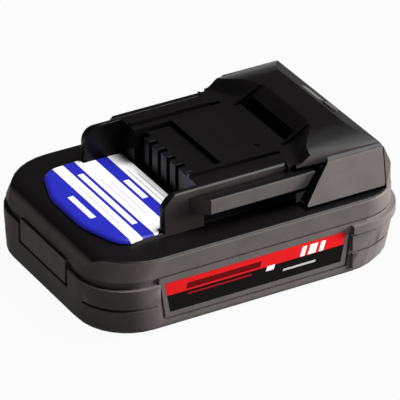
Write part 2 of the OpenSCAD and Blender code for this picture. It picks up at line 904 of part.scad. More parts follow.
// A coil spring along Y, swept as one tube. It is drawn at the length it has with the tab pressed.
SPRING_RINGS = 8;
SPRING_SIDES = 6;
spring_y0 = tower_hw + 0.05 + spring_wire / 2;
spring_y1 = tab_in - travel_at(spring_x) - 0.15 - spring_wire / 2;
spring_steps = spring_turns * SPRING_RINGS;

function spring_point(t) =
    let (a = 360 * spring_turns * t)
    [spring_r * cos(a), -(spring_y0 + (spring_y1 - spring_y0) * t), spring_r * sin(a)];

// One ring of the tube, square to the coil's own direction
function spring_ring(i) =
    let (
        t = i / spring_steps,
        p = spring_point(t),
        d = unit(spring_point(t + 0.002) - spring_point(t - 0.002)),
        out = unit([p.x, 0, p.z]),
        side = cross(d, out)
    )
    [for (k = [0 : SPRING_SIDES - 1])
        p + spring_wire / 2 * (out * cos(360 * k / SPRING_SIDES) + side * sin(360 * k / SPRING_SIDES))];

module spring_tube() {
    rings = [for (i = [0 : spring_steps]) each spring_ring(i)];
    walls = [for (i = [0 : spring_steps - 1], k = [0 : SPRING_SIDES - 1])
        let (
            a = i * SPRING_SIDES + k,
            b = i * SPRING_SIDES + (k + 1) % SPRING_SIDES
        )
        each [[a, a + SPRING_SIDES, b], [b, a + SPRING_SIDES, b + SPRING_SIDES]]];
    last = spring_steps * SPRING_SIDES;
    caps = [for (k = [1 : SPRING_SIDES - 2]) each [[0, k, k + 1], [last, last + k + 1, last + k]]];
    polyhedron(rings, concat(walls, caps));
}

// Least gap between one turn of the spring and the next
spring_gap = min([for (i = [0 : spring_steps - SPRING_RINGS])
    norm(spring_point((i + SPRING_RINGS) / spring_steps) - spring_point(i / spring_steps))]) - spring_wire;
echo(spring_gap = spring_gap);

module tab_spring(side) {
    color(steel) on_side(side) translate([spring_x, 0, spring_z]) spring_tube();
}

module left_tab_spring() {
    tab_spring(LEFT);
}

module right_tab_spring() {
    tab_spring(RIGHT);
}

// Films

module side_label(side) {
    color("#c8201c") on_side(side)
        along_y(-half_w + label_recess - label_t, -half_w + label_recess) polygon(rounded(label_outline(0)));
}

module left_side_label() {
    side_label(LEFT);
}

module right_side_label() {
    side_label(RIGHT);
}

sticker_t = 0.25;
sticker_hw = plate_hw - 0.6;
sticker_neck_hw = cheek_in - 0.3;
sticker_rear_x = tower_x - 0.5;
sticker_front_z = deck_z + 0.5;

module top_sticker() {
    color("#e8e8ee") intersection() {
        difference() {
            platform_shape(sticker_t);
            platform_shape(0);
        }
        upright(sticker_front_z, BIG) polygon(rounded([
            [platform_x - 1, -sticker_hw, 0], [cheek_x - 0.5, -sticker_hw, 1.5],
            [cheek_x - 0.5, -sticker_neck_hw, 0], [sticker_rear_x, -sticker_neck_hw, 1],
            [sticker_rear_x, sticker_neck_hw, 1], [cheek_x - 0.5, sticker_neck_hw, 0],
            [cheek_x - 0.5, sticker_hw, 1.5], [platform_x - 1, sticker_hw, 0]
        ]));
    }
}

// Cells, holders and their straps

function cell_x(i) = (i - (cell_count + 1) / 2) * cell_pitch;

module cell(i) {
    up = i % 2 == 0 ? 1 : -1;
    button_r = 2.8;
    button_h = 0.6;
    color("#3f6f8f") translate([cell_x(i), 0, cell_z]) rotate([-90 * up, 0, 0]) {
        translate([0, 0, -cell_len / 2]) cylinder(r = cell_d / 2, h = cell_len - button_h, $fn = 64);
        rod(button_r, cell_len / 2 - button_h - EPS, cell_len / 2);
    }
}

module cell_1() {
    cell(1);
}

module cell_2() {
    cell(2);
}

module cell_3() {
    cell(3);
}

module cell_4() {
    cell(4);
}

module cell_5() {
    cell(5);
}

module cell_holder(side) {
    color("#5b5b60") on_side(side) difference() {
        union() {
            along_y(-holder_out, -holder_in)
                polygon(rounded(rectangle(-holder_hl, floor_t, holder_hl, holder_top, 2)));
            for (end = ENDS)
                block(end * cell_pitch / 2 - bracket_w / 2, end * cell_pitch / 2 + bracket_w / 2,
                    -holder_in - 1, -bracket_in, holder_top - 1, board_z);
        }
        for (i = [1 : cell_count]) translate([cell_x(i), 0, cell_z]) rotate([90, 0, 0])
            cylinder(r = cell_d / 2 + holder_grip, h = BIG, $fn = 64);
    }
}

module left_cell_holder() {
    cell_holder(LEFT);
}

module right_cell_holder() {
    cell_holder(RIGHT);
}

module series_straps() {
    end_y = cell_len / 2;
    color(nickel) for (i = [1 : cell_count - 1]) on_side(i % 2 == 0 ? LEFT : RIGHT)
        along_y(-end_y - strap_t, -end_y) polygon(rounded(rectangle(
            cell_x(i) - strap_w / 2, cell_z - strap_w / 2,
            cell_x(i + 1) + strap_w / 2, cell_z + strap_w / 2, 2)));
}

// A strip from a cell's end, over the holder, along to its landing and up to the board
module bus(i, side, landing_x) {
    end_y = cell_len / 2;
    landing_y = board_hw - 2;
    half = strap_w / 2;
    x = cell_x(i);
    top = holder_top + strap_t;
    color(nickel) on_side(side) {
        block(x - half, x + half, -end_y - strap_t, -end_y, cell_z - half, top);
        block(x - half, x + half, -end_y - strap_t, -holder_in, holder_top, top);
        block(min(x, landing_x) - half, max(x, landing_x) + half, -holder_out + 1, -holder_in,
            holder_top, top);
        block(landing_x - half, landing_x + half, -holder_in - 1, -landing_y, holder_top, top);
        block(landing_x - half, landing_x + half, -landing_y - strap_t, -landing_y, holder_top, board_z);
    }
}

module negative_bus() {
    bus(1, LEFT, cell_x(1));
}

module positive_bus() {
    bus(cell_count, RIGHT, board_rear_x - strap_w / 2 - 1);
}

module insulator(side) {
    inner = cell_len / 2 + strap_t + fit_gap;
    color("#d8d4c4") on_side(side) along_y(-inner - insulator_t, -inner)
        polygon(rounded(rectangle(-holder_hl + 5, floor_t, holder_hl - 5, holder_top - 1, 3)));
}

module left_insulator() {
    insulator(LEFT);
}

module right_insulator() {
    insulator(RIGHT);
}

module foam_pad() {
    pad_rear = -cell_pitch / 2 - bracket_w;
    color("#39393c") sheet(foam_x, pad_rear, -foam_hw, foam_hw, foam_r, cell_z + cell_d / 2, board_z);
}

// Control board and what it carries

module control_board() {
    color("#1f5a36") difference() {
        sheet(board_x, board_rear_x, -board_hw, board_hw, 2, board_z, board_top);
        for (end = ENDS, side = SIDES)
            translate([(board_x + board_rear_x) / 2 + end * board_hole_x, side * board_hole_y, board_z - 1])
                cylinder(r = board_hole_r, h = board_t + 2, $fn = 24);
    }
}

module power_transistors() {
    color("#1d1d20") for (side = SIDES) translate([transistor_x, side * transistor_y, board_top]) {
        translate([0, -transistor.y / 2, 0]) cube(transistor);
        translate([transistor.x - EPS, -heat_tab.y / 2, 0]) cube(heat_tab);
    }
}

module control_chip() {
    color("#1d1d20")
        sheet(chip_x, chip_x + chip.x, -chip.y / 2, chip.y / 2, 0.4, board_top, board_top + chip.z);
}

// A bead on the middle cell, with two leads up to the board
module thermistor() {
    cell_top = cell_z + cell_d / 2;
    color("#8a4b2a") {
        translate([0, 0, cell_top]) cylinder(r = probe_r, h = probe_h, $fn = 24);
        for (side = SIDES) translate([0, side * lead_y, cell_top + probe_h / 2])
            cylinder(r = lead_r, h = board_z - cell_top - probe_h / 2, $fn = 24);
    }
}

// Terminal block

function width_of_slot(i) = i == 5 ? wide_slot_w : slot_w;

module terminal_block() {
    color("#232325") difference() {
        union() {
            block(block_front, block_rear, -comb_hw, comb_hw, board_top, comb_top);
            block(tower_x + tower_wall + fit_gap, flange_rear, -flange_hw, flange_hw,
                board_top, board_top + flange_h);
        }
        for (i = [0 : 5]) translate([0, slot_ys[i], 0]) {
            block(block_front - 1, slot_rear, -width_of_slot(i) / 2, width_of_slot(i) / 2,
                slot_foot, comb_top - comb_roof);
            block(block_front - 1, block_front + comb_mouth, -width_of_slot(i) / 2, width_of_slot(i) / 2,
                slot_foot, BIG);
        }
        block(block_front - 1, block_front + 1.5, -BIG, BIG, board_top - 1, platform_z + fit_gap);
    }
}

// Two facing leaves on a foot, standing in a slot of the block
module contact(i) {
    gap = width_of_slot(i) - 2 * leaf_t - 2 * leaf_slack;
    translate([leaf_rear, slot_ys[i], 0]) {
        for (side = SIDES) block(-leaf_l, 0, side * (gap + leaf_t) / 2 - leaf_t / 2,
            side * (gap + leaf_t) / 2 + leaf_t / 2, slot_foot, leaf_top);
        block(-leaf_foot_l, 0, -gap / 2 - leaf_t, gap / 2 + leaf_t, slot_foot, slot_foot + leaf_foot_h);
    }
}

module power_terminals() {
    color(brass) for (i = POWER_SLOTS) contact(i);
}

module signal_terminals() {
    color(brass) for (i = SIGNAL_SLOTS) contact(i);
}

// Charge gauge

module gauge_board() {
    color("#1f5a36") on_facet() difference() {
        slab(gauge_hw, gauge_hl, 0.6, gauge_board_z - gauge_board_t, gauge_board_z);
        for (side = SIDES) translate([0, side * post_y, gauge_board_z - 3])
            cylinder(r = stake_r + fit_gap, h = 4, $fn = 24);
    }
}

module gauge_switch() {
    color("#77787c") on_facet() translate([0, button_y, gauge_board_z]) difference() {
        slab(switch_w / 2, switch_w / 2, 0.3, 0, switch_h);
        rod(plunger_r + pin_gap, 0.2, switch_h + 1);
    }
}

module gauge_lights() {
    color("#d9e8c8") on_facet() for (y = light_ys)
        block(-0.6, 0.6, y - 0.8, y + 0.8, gauge_board_z, gauge_board_z + 0.8);
}

module gauge_lens() {
    color("#9fb3a0") on_facet() translate([0, window_y, 0]) {
        stadium(window_l, gauge_w, -facet_wall - fit_gap - gauge_flange_t, -0.1);
        stadium(window_l + gauge_flange, gauge_w + gauge_flange, -facet_wall - fit_gap - gauge_flange_t,
            -facet_wall - fit_gap);
        for (y = light_ys) translate([0, y - window_y, gauge_board_z + 1])
            cylinder(r = 0.7, h = -gauge_board_z - 1 - facet_wall, $fn = 24);
    }
}

module gauge_button() {
    flange_top = -facet_wall - fit_gap;
    tip = gauge_board_z + switch_h - 0.35;
    color("#55565a") on_facet() translate([0, button_y, 0]) {
        stadium(button_l, gauge_w, flange_top - gauge_flange_t, button_proud);
        stadium(button_l + 2 * gauge_flange, gauge_w + 2 * gauge_flange,
            flange_top - gauge_flange_t, flange_top);
        translate([0, 0, tip]) cylinder(r = plunger_r, h = flange_top - tip, $fn = 24);
    }
}

// One edge of a strip that follows a path, at distance d from it
function strip_edge(path, d) =
    [for (i = [0 : len(path) - 1])
        let (u = unit(path[min(i + 1, len(path) - 1)] - path[max(i - 1, 0)]))
        path[i] + d * [-u.y, u.x]];

// A flat ribbon from the gauge board down to the control board
module gauge_ribbon() {
    ribbon_t = 0.3;
    ribbon_w = 8;
    lie_z = board_top + ribbon_t / 2;
    start = facet_mid + (gauge_board_z - gauge_board_t) * [sin(facet_tilt), 0, cos(facet_tilt)];
    path = [
        [start.x, start.z - ribbon_t / 2], [start.x - 0.6, deck_z + 6], [start.x - 3, deck_z + 2],
        [start.x - 8, lie_z + 0.4], [board_rear_x - 1, lie_z], [board_rear_x - 6, lie_z]
    ];
    color("#8d8f94") along_y(-ribbon_w / 2, ribbon_w / 2)
        polygon(concat(strip_edge(path, ribbon_t / 2), reversed(strip_edge(path, -ribbon_t / 2))));
}

lower_housing();
upper_housing();
case_screws();
terminal_block();
power_terminals();
signal_terminals();
left_release_tab();
right_release_tab();
left_tab_pin();
right_tab_pin();
left_tab_spring();
right_tab_spring();
left_side_label();
right_side_label();
top_sticker();
cell_1();
cell_2();
cell_3();
cell_4();
cell_5();
left_cell_holder();
right_cell_holder();
series_straps();
positive_bus();
negative_bus();
left_insulator();
right_insulator();
foam_pad();
control_board();
power_transistors();
control_chip();
thermistor();
gauge_board();
gauge_switch();
gauge_lights();
gauge_lens();
gauge_button();
gauge_ribbon();
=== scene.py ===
"""Looks of a slide-on battery pack: moulded case, films, terminals, tabs, gauge and the studio round it."""
import math

import bmesh
import bpy
from mathutils import Matrix, Vector


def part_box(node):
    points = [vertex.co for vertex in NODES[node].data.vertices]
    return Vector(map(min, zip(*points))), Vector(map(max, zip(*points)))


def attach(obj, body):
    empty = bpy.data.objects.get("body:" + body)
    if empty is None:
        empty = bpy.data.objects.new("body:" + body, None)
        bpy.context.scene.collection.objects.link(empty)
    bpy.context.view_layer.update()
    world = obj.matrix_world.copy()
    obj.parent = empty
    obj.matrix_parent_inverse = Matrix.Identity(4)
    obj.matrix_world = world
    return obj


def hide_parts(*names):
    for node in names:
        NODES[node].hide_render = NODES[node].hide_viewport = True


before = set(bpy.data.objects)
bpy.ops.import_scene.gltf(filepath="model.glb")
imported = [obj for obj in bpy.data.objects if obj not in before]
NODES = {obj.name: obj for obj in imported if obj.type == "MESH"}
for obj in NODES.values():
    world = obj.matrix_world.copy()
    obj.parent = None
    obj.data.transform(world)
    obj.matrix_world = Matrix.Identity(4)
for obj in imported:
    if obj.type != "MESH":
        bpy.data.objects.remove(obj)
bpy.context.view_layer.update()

bl_info = {
    "name": "Slide-on battery pack",
    "version": (1, 0, 0),
    "blender": (4, 5, 0),
    "location": "View3D > Sidebar > Pack",
    "description": "Dresses the packed model of a slide-on battery pack and sets up its studio",
    "category": "Object",
}

MM = 0.001
MERGE_DISTANCE = 2e-6             # points closer than this become one
FLAT_ANGLE = math.radians(0.6)    # faces that meet at less than this become one
EDGE_SEGMENTS = 3
EDGE_ANGLE = math.radians(28)     # edges sharper than this are rounded
SHARP_ANGLE = math.radians(35)    # edges sharper than this stay sharp in the shading
EDGE_ROOM = 2.2                   # room that an edge needs round it, in roundings
MOTTLE = (0.88, 1.12, 1.4)        # a plastic's dark, light and fleck tones, as shares of its colour
TAB_OVER_DECK = 1.3 * MM          # the tabs' feet lie this far over the deck
RAIL_WALLS_Y = (27.5 * MM, 32 * MM)  # between these the walls go over from the painted shade of the smooth faces to the lighter grained colour
SPRING_WIRE = 0.3 * MM            # half the wire's thickness
LABEL_LEAN = 0.32                 # how far the label's bars lean along it for each unit up
LABEL_BAND_FOOT = 0.57            # where the label's red band starts, as a share of its height
FLOOR_RADIUS = 6
FLOOR_DROP = 0.2 * MM             # how far the floor lies under the pack
FLOOR_WHITE = 0.95                # how white the floor looks to the camera and in reflections
PIXELS_PER_METRE = 2995           # scale of the photograph's view at the reference point
REFERENCE = Vector((-1.25, -2.5, 24)) * MM
REFERENCE_PIXEL = (198.86, 189.67)  # where the reference point lies in the photograph
PICTURE = 400                     # the photograph's width and height in pixels
SENSOR = 36                       # the camera's sensor width in mm


# Shader graphs

class Graph:
    """A material's node tree with short calls for the nodes that the finishes use."""

    def __init__(self, name):
        self.material = bpy.data.materials.new(name)
        self.material.use_nodes = True
        self.nodes = self.material.node_tree.nodes
        self.links = self.material.node_tree.links
        self.shader = self.nodes["Principled BSDF"]
        self.place = self.nodes.new("ShaderNodeTexCoord").outputs["Object"]
        self.axes = None
        self.facing = None

    def put(self, socket, value):
        if isinstance(value, bpy.types.NodeSocket):
            self.links.new(value, socket)
        else:
            socket.default_value = value

    def math(self, operation, a, b=0.0, c=0.0):
        node = self.nodes.new("ShaderNodeMath")
        node.operation = operation
        for socket, value in zip(node.inputs, (a, b, c)):
            self.put(socket, value)
        return node.outputs[0]

    def axis(self, name):
        if self.axes is None:
            self.axes = self.nodes.new("ShaderNodeSeparateXYZ")
            self.links.new(self.place, self.axes.inputs[0])
        return self.axes.outputs[name]

    def noise(self, size_mm, detail=2.0, roughness=0.5, stretch=(1, 1, 1)):
        """Noise whose lumps are about size_mm across."""
        where = self.place
        if tuple(stretch) != (1, 1, 1):
            mapping = self.nodes.new("ShaderNodeMapping")
            mapping.inputs["Scale"].default_value = stretch
            self.links.new(where, mapping.inputs["Vector"])
            where = mapping.outputs["Vector"]
        node = self.nodes.new("ShaderNodeTexNoise")
        self.links.new(where, node.inputs["Vector"])
        node.inputs["Scale"].default_value = 1 / (size_mm * MM)
        node.inputs["Detail"].default_value = detail
        node.inputs["Roughness"].default_value = roughness
        return node.outputs["Fac"]

    def remap(self, value, low, high, to_low, to_high):
        node = self.nodes.new("ShaderNodeMapRange")
        for key, number in (("From Min", low), ("From Max", high), ("To Min", to_low), ("To Max", to_high)):
            node.inputs[key].default_value = number
        self.put(node.inputs["Value"], value)
        return node.outputs["Result"]

    def mix(self, factor, a, b):
        node = self.nodes.new("ShaderNodeMix")
        node.data_type = "RGBA"
        self.put(node.inputs["Factor"], factor)
        colour_in = [s for s in node.inputs if s.type == "RGBA"]
        for socket, value in zip(colour_in, (a, b)):
            self.put(socket, rgba(value) if not isinstance(value, bpy.types.NodeSocket) else value)
        return [s for s in node.outputs if s.type == "RGBA"][0]

    def inside(self, value, low, high, soft=0.04 * MM):
        """1 where value lies between low and high, with edges soft enough to stay smooth."""
        rise = self.remap(value, low - soft, low + soft, 0, 1)
        fall = self.remap(value, high - soft, high + soft, 1, 0)
        return self.math("MULTIPLY", rise, fall)

    def normal(self, name):
        if self.facing is None:
            self.facing = self.nodes.new("ShaderNodeSeparateXYZ")
            self.links.new(self.nodes.new("ShaderNodeNewGeometry").outputs["Normal"], self.facing.inputs[0])
        return self.facing.outputs[name]

    def shaded_polish_mask(self, deck_z, inner_y, outer_y):
        """1 on the faces that the tool slides over: those that look up, and walls inside the rails. These
        get a painted shade, a far darker colour, besides their smoother finish.
        """
        upward = self.remap(self.normal("Z"), 0.45, 0.8, 0, 1)
        above = self.remap(self.axis("Z"), deck_z - 0.4 * MM, deck_z + 0.2 * MM, 0, 1)
        outside = self.math("MULTIPLY",
                            self.remap(self.math("ABSOLUTE", self.axis("Y")), inner_y, outer_y, 0, 1),
                            self.remap(self.math("ABSOLUTE", self.normal("Y")), 0.5, 0.8, 0, 1))
        inside = self.math("MULTIPLY", above, self.math("SUBTRACT", 1.0, outside))
        return self.math("MAXIMUM", upward, inside)

    def bump(self, height, strength, depth_mm):
        node = self.nodes.new("ShaderNodeBump")
        node.inputs["Strength"].default_value = strength
        node.inputs["Distance"].default_value = depth_mm * MM
        self.put(node.inputs["Height"], height)
        self.links.new(node.outputs["Normal"], self.shader.inputs["Normal"])

    def finish(self, colour, roughness, metallic=0.0, ior=1.5, **more):
        self.put(self.shader.inputs["Base Color"], colour)
        self.put(self.shader.inputs["Roughness"], roughness)
        self.shader.inputs["Metallic"].default_value = metallic
        self.shader.inputs["IOR"].default_value = ior
        for name, value in more.items():
            self.shader.inputs[name.replace("_", " ")].default_value = value
        return self.material


def rgba(colour):
    return (*tuple(colour)[:3], 1.0)


def shade(colour, times):
    return tuple(min(1.0, c * times) for c in tuple(colour)[:3])


def moulded_plastic(name, colour, roughness, grain_mm=0.35, depth_mm=0.03, gloss=0.5, shade_and_polish=None):
    """Moulded plastic: spark-eroded grain, faint flow mottling and rubbed patches.
    The last argument gives the painted shade, a darker colour, and the roughness of the smooth faces, and
    where they start."""
    g = Graph(name)
    grain = g.noise(grain_mm, 3, 0.6)
    flow = g.noise(9, 3, 0.55)
    rubbed = g.noise(2.2, 4, 0.6)
    tones = [shade(colour, t) for t in MOTTLE]
    rough = g.math("ADD", g.remap(rubbed, 0.3, 0.75, roughness + 0.05, roughness - 0.06),
                   g.remap(grain, 0.3, 0.7, -0.04, 0.04))
    if shade_and_polish:
        # painted shade: the smooth faces take a far darker colour than the grained ones, besides their own
        # roughness
        smooth = g.shaded_polish_mask(*shade_and_polish["where"])
        painted_shade_tones = [shade(shade_and_polish["colour"], t) for t in MOTTLE]
        tones = [g.mix(smooth, grained, plain) for grained, plain in zip(tones, painted_shade_tones)]
        sheen = g.remap(rubbed, 0.3, 0.75, shade_and_polish["roughness"] + 0.03, shade_and_polish["roughness"] - 0.03)
        sliding = g.math("MULTIPLY", smooth, g.remap(g.normal("X"), 0.25, 0.4, 1, 0))
        rough = g.math("MULTIPLY_ADD", sliding, g.math("SUBTRACT", sheen, rough), rough)
    tone = g.mix(g.remap(flow, 0.3, 0.7, 0, 1), tones[0], tones[1])
    fleck = g.mix(g.remap(grain, 0.35, 0.75, 0, 0.35), tone, tones[2])
    g.bump(grain, 0.35, depth_mm)
    return g.finish(fleck, rough, Specular_IOR_Level=gloss)


def metal(name, colour, roughness, brushed_mm=0.08):
    """Drawn or plated metal with fine streaks along its length."""
    g = Graph(name)
    streak = g.noise(brushed_mm * 6, 3, 0.6, (0.12, 1, 1))
    cloud = g.noise(3, 3, 0.5)
    tone = g.mix(g.remap(cloud, 0.3, 0.7, 0, 1), shade(colour, 0.85), shade(colour, 1.1))
    rough = g.math("ADD", g.remap(streak, 0.3, 0.7, roughness - 0.06, roughness + 0.08),
                   g.remap(cloud, 0.3, 0.7, -0.03, 0.03))
    g.bump(streak, 0.15, 0.02)
    return g.finish(tone, rough, metallic=1.0)


# Meshes

def copy_of(node, name):
    """A merged copy of a CAD node's mesh, as a new object at the origin."""
    mesh = NODES[node].data.copy()
    mesh.name = name
    piece = bpy.data.objects.new(name, mesh)
    bpy.context.collection.objects.link(piece)
    mesh.materials.clear()
    work = bmesh.new()
    work.from_mesh(mesh)
    bmesh.ops.remove_doubles(work, verts=work.verts, dist=MERGE_DISTANCE)
    bmesh.ops.dissolve_limit(work, angle_limit=FLAT_ANGLE, verts=work.verts, edges=work.edges,
                             delimit={"NORMAL"})
    work.to_mesh(mesh)
    work.free()
    return piece


def baked(piece):
    """Turns a piece's modifiers into plain mesh."""
    bpy.context.view_layer.update()
    evaluated = piece.evaluated_get(bpy.context.evaluated_depsgraph_get())
    mesh = bpy.data.meshes.new_from_object(evaluated)
    piece.modifiers.clear()
    old = piece.data
    piece.data = mesh
    bpy.data.meshes.remove(old)
    return piece


def mark_clear_edges(mesh, angle, room):
    """Gives bevel weight to the sharp edges that have room on every side."""
    work = bmesh.new()
    work.from_mesh(mesh)
    weight = work.edges.layers.float.new("bevel_weight_edge")
    for edge in work.edges:
        if len(edge.link_faces) == 2 and edge.calc_face_angle() > angle:
            if all(near.calc_length() >= room for vert in edge.verts for near in vert.link_edges):
                edge[weight] = 1.0
    work.to_mesh(mesh)
    work.free()


def softened(node, name, width_mm, clear=True):
    """A copy of a node with its sharp edges rounded. clear leaves out the edges that have no room."""
    piece = copy_of(node, name)
    bevel = piece.modifiers.new("soft edges", "BEVEL")
    bevel.width = width_mm * MM
    bevel.segments = EDGE_SEGMENTS
    if clear:
        mark_clear_edges(piece.data, EDGE_ANGLE, EDGE_ROOM * width_mm * MM)
    bevel.limit_method = "WEIGHT" if clear else "ANGLE"
    bevel.angle_limit = EDGE_ANGLE
    bevel.use_clamp_overlap = True
    bevel.miter_outer = "MITER_ARC"
    baked(piece)
    for polygon in piece.data.polygons:
        polygon.use_smooth = True
    piece.data.set_sharp_from_angle(angle=SHARP_ANGLE)
    flat = piece.modifiers.new("flat faces", "WEIGHTED_NORMAL")
    flat.weight = 100
    flat.keep_sharp = True
    return baked(piece)


def dress(piece, material, body, slot, *nodes):
    """Gives a piece its finish, the body that it rides on and the nodes that it replaces. slot is not used.
    """
    piece.data.materials.clear()
    piece.data.materials.append(material)
    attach(piece, body)
    if nodes:
        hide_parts(*nodes)


def paint(node, material):
    """Gives a CAD node a finish, leaving its mesh as it is."""
    holder = NODES[node]
    if not holder.material_slots:
        holder.data.materials.append(None)
    for place in holder.material_slots:
        place.link = "OBJECT"
        place.material = material


# Settings

class PackFinish(bpy.types.PropertyGroup):
    """Colours of the pack's finishes."""
    upper: bpy.props.FloatVectorProperty(
        name="Upper case", description="Colour of the upper case half", subtype="COLOR",
        default=(0.088, 0.076, 0.073), min=0, max=1)
    # painted shade: colour of the upward faces and of the walls inside the rails, far darker than the
    # grained sides
    painted_shade: bpy.props.FloatVectorProperty(
        name="Polished faces", description="Colour of the case's upward faces", subtype="COLOR",
        default=(0.0034, 0.0028, 0.0029), min=0, max=1)
    lower: bpy.props.FloatVectorProperty(
        name="Lower case", description="Colour of the lower case half", subtype="COLOR",
        default=(0.102, 0.089, 0.086), min=0, max=1)
    tab: bpy.props.FloatVectorProperty(
        name="Tabs", description="Colour of the release tabs", subtype="COLOR",
        default=(0.096, 0.083, 0.080), min=0, max=1)
    roughness: bpy.props.FloatProperty(
        name="Roughness", description="Roughness of the grained plastic", default=0.62, min=0, max=1)
    polished_roughness: bpy.props.FloatProperty(
        name="Polished roughness", description="Roughness of the smooth plastic", default=0.32, min=0, max=1)
    gloss: bpy.props.FloatProperty(
        name="Gloss", description="Specular level of the moulded plastic", default=0.14, min=0, max=1)
    label: bpy.props.FloatVectorProperty(
        name="Label band", description="Colour of the side label's upper band", subtype="COLOR",
        default=(0.66, 0.010, 0.012), min=0, max=1)
    sticker: bpy.props.FloatVectorProperty(
        name="Sticker bands", description="Colour of the top sticker's bands", subtype="COLOR",
        default=(0.014, 0.017, 0.34), min=0, max=1)


class PackSizes(bpy.types.PropertyGroup):
    """Sizes of the details that the scene adds."""
    case_edge: bpy.props.FloatProperty(
        name="Case edge", description="Rounding of the case's edges, in mm", default=0.35, min=0.05, max=1)
    tab_edge: bpy.props.FloatProperty(
        name="Tab edge", description="Rounding of the tabs' edges, in mm", default=0.45, min=0.05, max=1)
    fine_edge: bpy.props.FloatProperty(
        name="Fine edge", description="Rounding of small pieces' edges, in mm",
        default=0.18, min=0.02, max=0.5)
    spring_turns: bpy.props.FloatProperty(
        name="Spring turns", description="Turns of each tab spring", default=3, min=2, max=4)


class PackStudio(bpy.types.PropertyGroup):
    """Camera and light."""
    azimuth: bpy.props.FloatProperty(
        name="Azimuth", description="Camera angle round the pack", subtype="ANGLE",
        default=math.radians(-29.70))
    elevation: bpy.props.FloatProperty(
        name="Elevation", description="Camera angle above the floor", subtype="ANGLE",
        default=math.radians(29.84))
    distance: bpy.props.FloatProperty(
        name="Distance", description="Distance of the camera", subtype="DISTANCE", unit="LENGTH",
        default=1.4, min=0.5, max=10)
    floor: bpy.props.FloatVectorProperty(
        name="Floor", description="Colour of the floor", subtype="COLOR", default=(0.18, 0.18, 0.18),
        min=0, max=1)


def settings(context):
    return context.scene.pack_finish, context.scene.pack_sizes, context.scene.pack_studio


# Pieces

def shaded_smooth_faces(finish):
    """The painted shade colour and the roughness of the faces that slide in the tool, and where they start.
    """
    deck_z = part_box("left_release_tab")[0].z - TAB_OVER_DECK
    return {"colour": finish.painted_shade, "roughness": finish.polished_roughness,
            "where": (deck_z, *RAIL_WALLS_Y)}


class PACK_OT_case(bpy.types.Operator):
    """Make the two case halves with rounded edges and moulded grain"""
    bl_idname = "pack.case"
    bl_label = "Case halves"

    def execute(self, context):
        finish, sizes, _ = settings(context)
        upper = softened("upper_housing", "upper_case", sizes.case_edge, clear=False)
        plastic = moulded_plastic("upper case plastic", finish.upper, finish.roughness, gloss=finish.gloss,
                                  shade_and_polish=shaded_smooth_faces(finish))
        dress(upper, plastic, "case", "upper_case", "upper_housing")
        lower = softened("lower_housing", "lower_case", sizes.case_edge)
        plastic = moulded_plastic("lower case plastic", finish.lower, finish.roughness, gloss=0.08)
        dress(lower, plastic, "case", "lower_case", "lower_housing")
        return {"FINISHED"}


class PACK_OT_tabs(bpy.types.Operator):
    """Make the two release tabs"""
    bl_idname = "pack.tabs"
    bl_label = "Release tabs"

    def execute(self, context):
        finish, sizes, _ = settings(context)
        plastic = moulded_plastic("tab plastic", finish.tab, finish.roughness, gloss=finish.gloss,
                                  shade_and_polish=shaded_smooth_faces(finish))
        for side in ("left", "right"):
            tab = softened(f"{side}_release_tab", f"{side}_tab_cover", sizes.tab_edge)
            dress(tab, plastic, f"{side}_tab", "tab", f"{side}_release_tab")
        return {"FINISHED"}


def spring_tree():
    """A wire coil along Y, from its turns, radius, length and wire."""
    tree = bpy.data.node_groups.new("tab spring", "GeometryNodeTree")
    face = tree.interface
    inputs = (("Turns", 3.0), ("Radius", 2 * MM), ("Length", 3 * MM), ("Wire", SPRING_WIRE))
    for name, value in inputs:
        face.new_socket(name, in_out="INPUT", socket_type="NodeSocketFloat").default_value = value
    face.new_socket("Finish", in_out="INPUT", socket_type="NodeSocketMaterial")
    face.new_socket("Geometry", in_out="OUTPUT", socket_type="NodeSocketGeometry")
    new, link = tree.nodes.new, tree.links.new
    ins, outs = new("NodeGroupInput"), new("NodeGroupOutput")
    spiral = new("GeometryNodeCurveSpiral")
    spiral.inputs["Resolution"].default_value = 40
    link(ins.outputs["Turns"], spiral.inputs["Rotations"])
    link(ins.outputs["Radius"], spiral.inputs["Start Radius"])
    link(ins.outputs["Radius"], spiral.inputs["End Radius"])
    link(ins.outputs["Length"], spiral.inputs["Height"])
    ring = new("GeometryNodeCurvePrimitiveCircle")
    ring.inputs["Resolution"].default_value = 12
    link(ins.outputs["Wire"], ring.inputs["Radius"])
    tube = new("GeometryNodeCurveToMesh")
    tube.inputs["Fill Caps"].default_value = True
    link(spiral.outputs["Curve"], tube.inputs["Curve"])
    link(ring.outputs["Curve"], tube.inputs["Profile Curve"])
    real = new("GeometryNodeRealizeInstances")
    smooth = new("GeometryNodeSetShadeSmooth")
    colour = new("GeometryNodeSetMaterial")
    link(tube.outputs["Mesh"], real.inputs["Geometry"])
    link(real.outputs["Geometry"], smooth.inputs["Geometry"])
    link(smooth.outputs["Geometry"], colour.inputs["Geometry"])
    link(ins.outputs["Finish"], colour.inputs["Material"])
    link(colour.outputs["Geometry"], outs.inputs["Geometry"])
    return tree


def set_input(modifier, name, value):
    for item in modifier.node_group.interface.items_tree:
        if item.item_type == "SOCKET" and item.in_out == "INPUT" and item.name == name:
            modifier[item.identifier] = value
            return
    raise KeyError(name)


